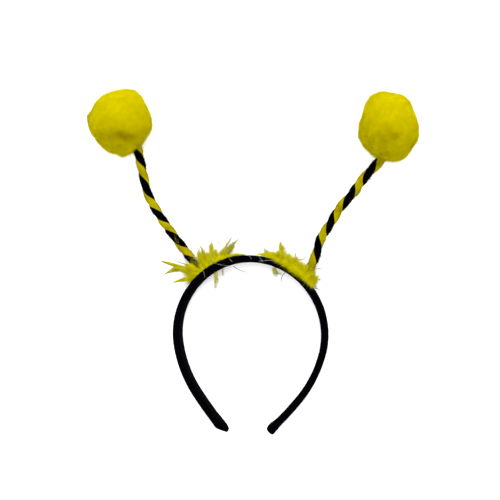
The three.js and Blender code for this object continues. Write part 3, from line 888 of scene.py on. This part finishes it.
featherTrim = {
    "length": 22 * mm,
    "girth": 3 * mm,
    "tip": 0.09,
    "thinning": 0.35,
    "flatness": 0.8,
    "backing": 1.6 * mm,
    "clearance": 0.3 * mm,
    "barbs": 620,
    "barbWidth": 0.19 * mm,
    "strayBarbs": 0.1,
    "down": 8300,
    "downWidth": 0.24 * mm,
    # locks: root's angle from the crown's top, its place across the band, lean from straight out,
    # slope up, further turn by the tip, then length and girth as shares
    "left": [
        (44, 0.55, 23, 10, 14, 1.5, 0.36), (44, 0.45, 15, 8, 72, 1.38, 0.36),
        (48, 0.45, 52, 9, 12, 0.86, 0.65), (46, 0.72, 11, 18, 34, 0.64, 1.3),
        (44, 0.72, -10, 26, 41, 0.65, 1.2), (37, 0.7, 0, 22, -36, 0.74, 1.1),
        (35, 0.55, -2, 18, -34, 0.72, 1.1), (32, 0.7, -2, 21, -24, 0.5, 1.1),
        (30, 0.45, -6, 9, -32, 0.81, 1), (28, 0.65, -22, 24, -16, 0.5, 1.2),
        (25, 0.6, -61, 21, -15, 0.59, 1.1), (25, 0.4, -67, 10, -4, 0.8, 1),
        (21, 0.45, -88, 8, -24, 0.79, 0.6), (44, 0.6, 24, 11, 24, 1.0, 0.95),
    ],
    "right": [
        (14, 0.45, -59, 16, -17, 0.37, 0.9), (18, 0.6, -60, 20, -2, 0.34, 1),
        (21, 0.7, -37, 30, 2, 0.43, 1.2), (22, 0.45, -31, 9, 1, 0.75, 0.96),
        (27, 0.65, -31, 24, 22, 0.43, 1.3), (31, 0.7, -23, 27, 21, 0.41, 1.3),
        (36, 0.65, -20, 28, 8, 0.37, 1.3), (40, 0.85, -18, 24, 0, 0.48, 1.2),
        (44, 0.88, 0, 24, 12, 0.34, 1.1), (46, 0.6, -23, 18, 9, 0.46, 1.3),
        (47, 0.7, -6, 26, 33, 0.38, 1.2), (46, 0.4, 30, 10, 20, 0.3, 1.1),
    ],
    # down along the strip: angle, lean, length outwards and length of what hangs over the band's
    # edge, in mm
    "leftDown": [
        (12, -85, 1.5, 0.3), (20, -60, 4, 0.7), (26, -40, 8, 1), (31, -22, 11, 1),
        (37, -14, 11, 1), (41, 5, 6.5, 1), (44, 34, 12, 1), (48.5, 50, 10, 0.8), (52, 60, 2, 0.4),
    ],
    "rightDown": [
        (6, -70, 2, 0.8), (13, -58, 6, 2), (20, -42, 8, 3.6), (27, -28, 10.5, 4.6),
        (35, -16, 10.5, 4.8), (42, -4, 9.5, 4.6), (47, 8, 8, 3.6), (50.3, 20, 5, 1.6),
    ],
    "clumps": 150,
    "fray": 1.6,
    # thin wisps of a few thick barbs: share of the barbs and distance outwards from the band's
    # outer face in mm, then the locks' columns
    "wispWidth": 2.2,
    "leftWisps": [
        (0.12, -5.5, 32, 0.6, 155, 4, -6, 0.7, 1), (0.14, 2.5, 25, 0.4, -67, 10, -4, 1.12, 0.65),
        (0.08, -5.5, 26, 0.5, 160, 4, 10, 0.3, 0.4), (0.35, 17, 51, 0.65, 21, 8, 4, 0.66, 0.25),
        (0.35, 18, 51, 0.6, 72, 6, 8, 0.58, 0.25), (0.08, 3, 27, 0.6, -60, 18, -30, 1.05, 0.9),
        (0.1, 4, 24, 0.5, -52, 14, -10, 0.95, 0.8), (0.08, 7, 36, 0.6, -6, 16, -20, 0.6, 1.4),
        (0.08, 7, 40, 0.6, 2, 20, -30, 0.45, 1.6), (0.08, 8, 33, 0.6, -2, 16, -10, 0.55, 0.7),
    ],
    "rightWisps": [
        (0.14, -5.5, 18, 0.6, 166, 4, -50, 0.4, 1),
        (0.1, -5.5, 17.5, 0.6, 172, 4, -130, 0.48, 0.8), (0.08, 6, 22, 0.5, -30, 10, -30, 0.5, 1),
        (0.08, 2, 12, 0.5, -60, 14, 20, 0.4, 1.2), (0.08, 4, 47, 0.5, 10, 14, 20, 0.42, 1.6),
    ],
    # silver threads: angle and distance outwards at each end, in mm, then height and bow in mm
    "silverWidth": 0.3 * mm,
    "looseSilverWidth": 0.62 * mm,
    "leftSilver": [
        (27.5, 13, 26.6, 20, 10, 0.6), (39.2, 1, 41.6, -5.5, 12.5, 0.8),
        (29.6, 1, 15.2, -7.2, 12.5, -0.6), (15.4, -7, 3.4, -13.4, 11.9, -0.7),
        (46, 13, 49.9, 27.2, 9, 0.5), (22.5, 12, 15.4, 23, 10, 0.8),
        (17.5, 1.5, 14.8, -3.9, 12.5, -0.6), (30.4, 1, 25.6, 9, 13.5, 1),
        (2, -0.5, 0.3, -3.6, 12.4, 0.4),
    ],
    "rightSilver": [
        (3.8, 0.5, 9.2, -4.8, 12.5, 0.6), (5.9, -3.9, 20.7, -0.4, 12.5, 0.8),
        (31, 8, 27.4, 13.6, 10, 1.4), (31.9, 8.5, 33.8, 14.5, 10, -1.2),
        (43.7, 0.8, 45.5, -5.1, 12.6, 0.7), (50.4, 6.2, 50.6, -2.4, 12.6, 0.8),
        (52.5, 1.5, 55.9, 3.5, 9, 0.4), (43.3, 11, 47.6, 16.4, 8, 0.6),
        (28.3, -5, 30, -14.5, 8, -1.4),
    ],
}


def lockPath(hand, lock, outward, samples=31):
    # A lock's middle line: from its root it runs at its slope, and its heading turns evenly from
    # the lean by the curl; the places are running sums of the headings.
    at, deep, lean, lift, curl, size, girth = lock
    root, _ = onCrown(hand, at, outward)
    root[2] = deep * headband["width"]
    share = np.linspace(0, 1, samples)
    fromAside = np.radians(90 - at - lean - curl * share)
    heading = direction(fromAside, math.radians(lift)) * [hand, 1, 1]
    stride = size * featherTrim["length"] / (samples - 1)
    sums = np.cumsum((heading[1:] + heading[:-1]) / 2 * stride, axis=0)
    return share, root + np.concatenate([[[0, 0, 0]], sums]), heading


def lockGirth(share, girth):
    # thick locks keep their girth for longer and end blunt
    taper = 1 - share ** (7 if girth > 0.95 else 3)
    taper = taper * (1 - featherTrim["thinning"] * share) + featherTrim["tip"]
    return girth * featherTrim["girth"] * taper


def lockBarbs(hand, lock, outward, density=1.0, thick=1.0, span=(0.0, 1.0)):
    # Barbs leave the middle line all along the lock and run towards its tip, spreading to the
    # lock's girth there: each is a bend from its root to its end that starts along the lock.
    share, places, headings = lockPath(hand, lock, outward)
    count = int(density * featherTrim["barbs"] * (0.5 + 0.5 * lock[5]))
    start = 0.85 * random.uniform(0, 1, count) ** 1.3
    end = start + (1 - start) * random.uniform(0.2, 1, count)
    turn = random.uniform(0, 2 * math.pi, count)
    spread = np.sqrt(random.uniform(0, 1, count)) * random.choice([1, 1.2, 1.5, 1.9], count)

    def spot(at, widening):
        place = between(at, share, places)
        ahead = unit(between(at, share, headings))
        across = unit(np.cross(ahead, [0, 0, 1]))
        up = np.cross(across, ahead)
        radius = (lockGirth(at, lock[6]) * spread * widening)[:, None]
        away = across * np.cos(turn)[:, None]
        away = away + up * np.sin(turn)[:, None] * featherTrim["flatness"]
        return place + away * radius, ahead, away

    roots, ahead, away = spot(start, 0.35)
    tips, tipAhead, _ = spot(end, 1.0)
    # some barbs stand out of the lock and past its tip
    stray = (random.uniform(0, 1, count) < featherTrim["strayBarbs"])[:, None]
    tips = tips + 0.3 * mm * (1 + 1.5 * stray) * random.normal(size=(count, 3))
    tips = tips + tipAhead * stray * random.uniform(0, 1.8, (count, 1)) * mm
    chord = tips - roots
    length = np.linalg.norm(chord, axis=1)
    chord = chord / length[:, None]
    first = unit(0.75 * ahead + 0.25 * chord + 0.1 * random.normal(size=(count, 3)))
    width = featherTrim["barbWidth"] * random.uniform(0.6, 1.3, count) * (1.15 - 0.5 * start)
    width = width * thick * np.where(stray[:, 0], 0.7, 1)
    return fibrePart(
        roots,
        first,
        chord - first,
        length,
        width,
        0.6 * away + [0, 0, 0.7],
        random.uniform(0, 1, count),
        2,
        (span[0] + (span[1] - span[0]) * start, span[0] + (span[1] - span[0]) * end),
    )


def clumped(count, low, high):
    # angles along the strip gathered in clumps, and each one's clump for what its fibres share;
    # both ends of the strip are frayed
    clumps = featherTrim["clumps"]
    middle = np.sort(random.uniform(low, high, clumps))
    clump = random.integers(0, clumps, count)
    spread = 0.7 * (high - low) / clumps
    toEnd = np.minimum(middle - low, high - middle)
    fray = featherTrim["fray"] * (1 - smoothStep(toEnd, 0, 3 * featherTrim["fray"]))
    return middle[clump] + (spread + fray[clump]) * random.normal(size=count), clump


def downLook(clump):
    # width of each fibre and its share of its own tint, most of which its clump shares
    count = len(clump)
    width = featherTrim["downWidth"] * random.uniform(0.6, 1.3, count)
    own = random.uniform(0, 1, featherTrim["clumps"])[clump] + 0.2 * random.normal(size=count)
    return width, np.clip(own, 0, 1)


def downPart(hand, rows):
    # Short down all along the strip: roots spread over the backing, headings read from the table
    # by angle and fanned a little, each clump with its own lean, slope and length.
    angle, lean, outLength, _ = np.array(rows, float).T
    count, clumps = featherTrim["down"], featherTrim["clumps"]
    at, clump = clumped(count, angle[0], angle[-1])
    root, _ = onCrown(hand, at, featherTrim["clearance"] + 0.4 * featherTrim["backing"])
    height = 0.08 + 0.91 * random.uniform(0, 1, count) ** 0.65
    root[:, 2] = height * headband["width"]
    heading = at + np.interp(at, angle, lean)
    heading = heading + 13 * random.normal(size=clumps)[clump] + 8 * random.normal(size=count)
    _, ahead = onCrown(hand, heading, 0)
    slope = 0.3 * (height - 0.3) + 0.12 * random.normal(size=clumps)[clump]
    ahead = unit(ahead + np.array([0, 0, 1]) * slope[:, None])
    curl = 0.2 * random.normal(size=(clumps, 3))[clump] + 0.12 * random.normal(size=(count, 3))
    curl[:, 2] *= 0.4
    length = np.interp(at, angle, outLength) * mm
    length = length * random.uniform(0.55, 1.1, clumps)[clump] * random.uniform(0.25, 1, count)
    width, own = downLook(clump)
    facing = 0.5 * ahead + 0.4 * random.normal(size=(clumps, 3))[clump] + [0, 0, 1]
    part = fibrePart(root, ahead, curl, length, width, facing, own, 2, (0, 0.8))
    part[0][:, 2] = np.maximum(part[0][:, 2], 0.35 * mm)
    return part


def overhangPart(hand, rows):
    # Down that starts at the strip's top edge and lies back over the band's top face.
    angle, _, _, overLength = np.array(rows, float).T
    count, clumps = featherTrim["down"] // 3, featherTrim["clumps"]
    at, clump = clumped(count, angle[0], angle[-1])
    root, out = onCrown(hand, at, 0)
    top = headband["width"]
    back = featherTrim["clearance"] + featherTrim["backing"] * random.uniform(0.3, 1.5, count)
    root = root + out * back[:, None]
    root[:, 2] = top - random.uniform(0, 0.8, count) * mm
    tangent = np.stack([-out[:, 1], out[:, 0], np.zeros(count)], -1)
    fan = (0.5 * random.normal(size=clumps)[clump] + 0.25 * random.normal(size=count))[:, None]
    ahead = unit(-0.4 * out + tangent * fan + [0, 0, 0.8])
    curl = -0.7 * out + tangent * fan - [0, 0, 0.75]
    length = np.interp(at, angle, overLength) * mm
    length = length * random.uniform(0.5, 1.15, clumps)[clump] * random.uniform(0.5, 1.1, count)
    width, own = downLook(clump)
    facing = 0.3 * out + 0.35 * random.normal(size=(clumps, 3))[clump] + [0, 0, 1]
    part = fibrePart(root, ahead, curl, length, width, facing, own, 2, (0, 0.7))
    fromCentre = part[0][:, :2] - [bandTop.x, bandTop.y - headband["crownRadius"]]
    outer = headband["crownRadius"] + headband["thickness"] / 2
    overBand = np.linalg.norm(fromCentre, axis=1) < outer + 0.2 * mm
    lowest = top + 0.3 * mm
    part[0][:, 2] = np.where(overBand, np.maximum(part[0][:, 2], lowest), part[0][:, 2])
    return part


def makeTrim(side, hand):
    rows = featherTrim[side + "Down"]
    outward = featherTrim["clearance"] + featherTrim["backing"] / 2
    parts = [lockBarbs(hand, lock, outward) for lock in featherTrim[side]]
    for density, start, *wisp in featherTrim[side + "Wisps"]:
        thick = featherTrim["wispWidth"]
        parts.append(lockBarbs(hand, wisp, start * mm, density, thick, (0.8, 1)))
    parts += [downPart(hand, rows), overhangPart(hand, rows)]
    piece = joined(side + "Feather", parts)
    piece.data.materials.append(yellowDown)
    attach(piece, "root")
    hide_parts("feather_trim_" + side)


def makeSilver(side, hand):
    # Each thread is a bend between two places given by their angle and distance outwards; its
    # middle stands aside by the bow.
    fromAngle, fromOut, toAngle, toOut, height, bow = np.array(featherTrim[side + "Silver"]).T
    start, _ = onCrown(hand, fromAngle, fromOut * mm)
    end, _ = onCrown(hand, toAngle, toOut * mm)
    start[:, 2] = end[:, 2] = height * mm
    chord = end - start
    length = np.linalg.norm(chord, axis=1)
    chord = chord / length[:, None]
    aside = np.stack([-chord[:, 1], chord[:, 0], np.full(len(chord), 0.3)], -1)
    first = chord + aside * (4 * bow * mm / length)[:, None]
    isLoose = height < headband["width"] / mm
    width = np.where(isLoose, featherTrim["looseSilverWidth"], featherTrim["silverWidth"])
    points, quads, ends, along = fibreMesh(start, first, chord - first, length, width, 10, 0.8)
    piece = meshFrom(side + "Silver", points, [quads, ends])
    addShare(piece, "own", np.repeat(isLoose, len(along)))
    piece.data.materials.append(silverThread)
    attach(piece, "root")


for side, hand in (("left", -1), ("right", 1)):
    makeTrim(side, hand)
    makeSilver(side, hand)
print("stage: feather trims made")

# light and table

studio = {
    "skyStrength": 1.75,
    "sunStrength": 3.0,
    "sunSize": 50,
    "sunTilt": (-48, 8),
    "tableReach": 3.0,
    "tableDrop": 0.2 * mm,
    "grainScale": 40,
    "grainColours": ((0.93, 0.93, 0.93, 1), (0.96, 0.96, 0.96, 1)),
}


def makeStage():
    scene = bpy.context.scene
    scene.view_settings.view_transform = "Standard"
    world = bpy.data.worlds.new("studio")
    world.use_nodes = True
    sky = world.node_tree.nodes["Background"]
    sky.inputs["Color"].default_value = (1, 1, 1, 1)
    sky.inputs["Strength"].default_value = studio["skyStrength"]
    scene.world = world
    sun = bpy.data.lights.new("window", "SUN")
    sun.energy = studio["sunStrength"]
    sun.angle = math.radians(studio["sunSize"])
    holder = bpy.data.objects.new("window", sun)
    holder.rotation_euler = (*np.radians(studio["sunTilt"]), 0)
    scene.collection.objects.link(holder)
    corners = np.array([[-1, -1, 0], [1, -1, 0], [1, 1, 0], [-1, 1, 0]]) * studio["tableReach"]
    corners = corners - [0, 0, studio["tableDrop"]]
    table = meshFrom("table", corners, [np.array([[0, 1, 2, 3]])])
    material, tree, shader = newMaterial("paleTable", 0.9, 0.0)
    grain = objectNoise(tree, studio["grainScale"])
    colour = mixColours(tree, grain, *studio["grainColours"])
    tree.links.new(colour, shader.inputs["Base Color"])
    table.data.materials.append(material)


makeStage()
print("stage: light and table made")
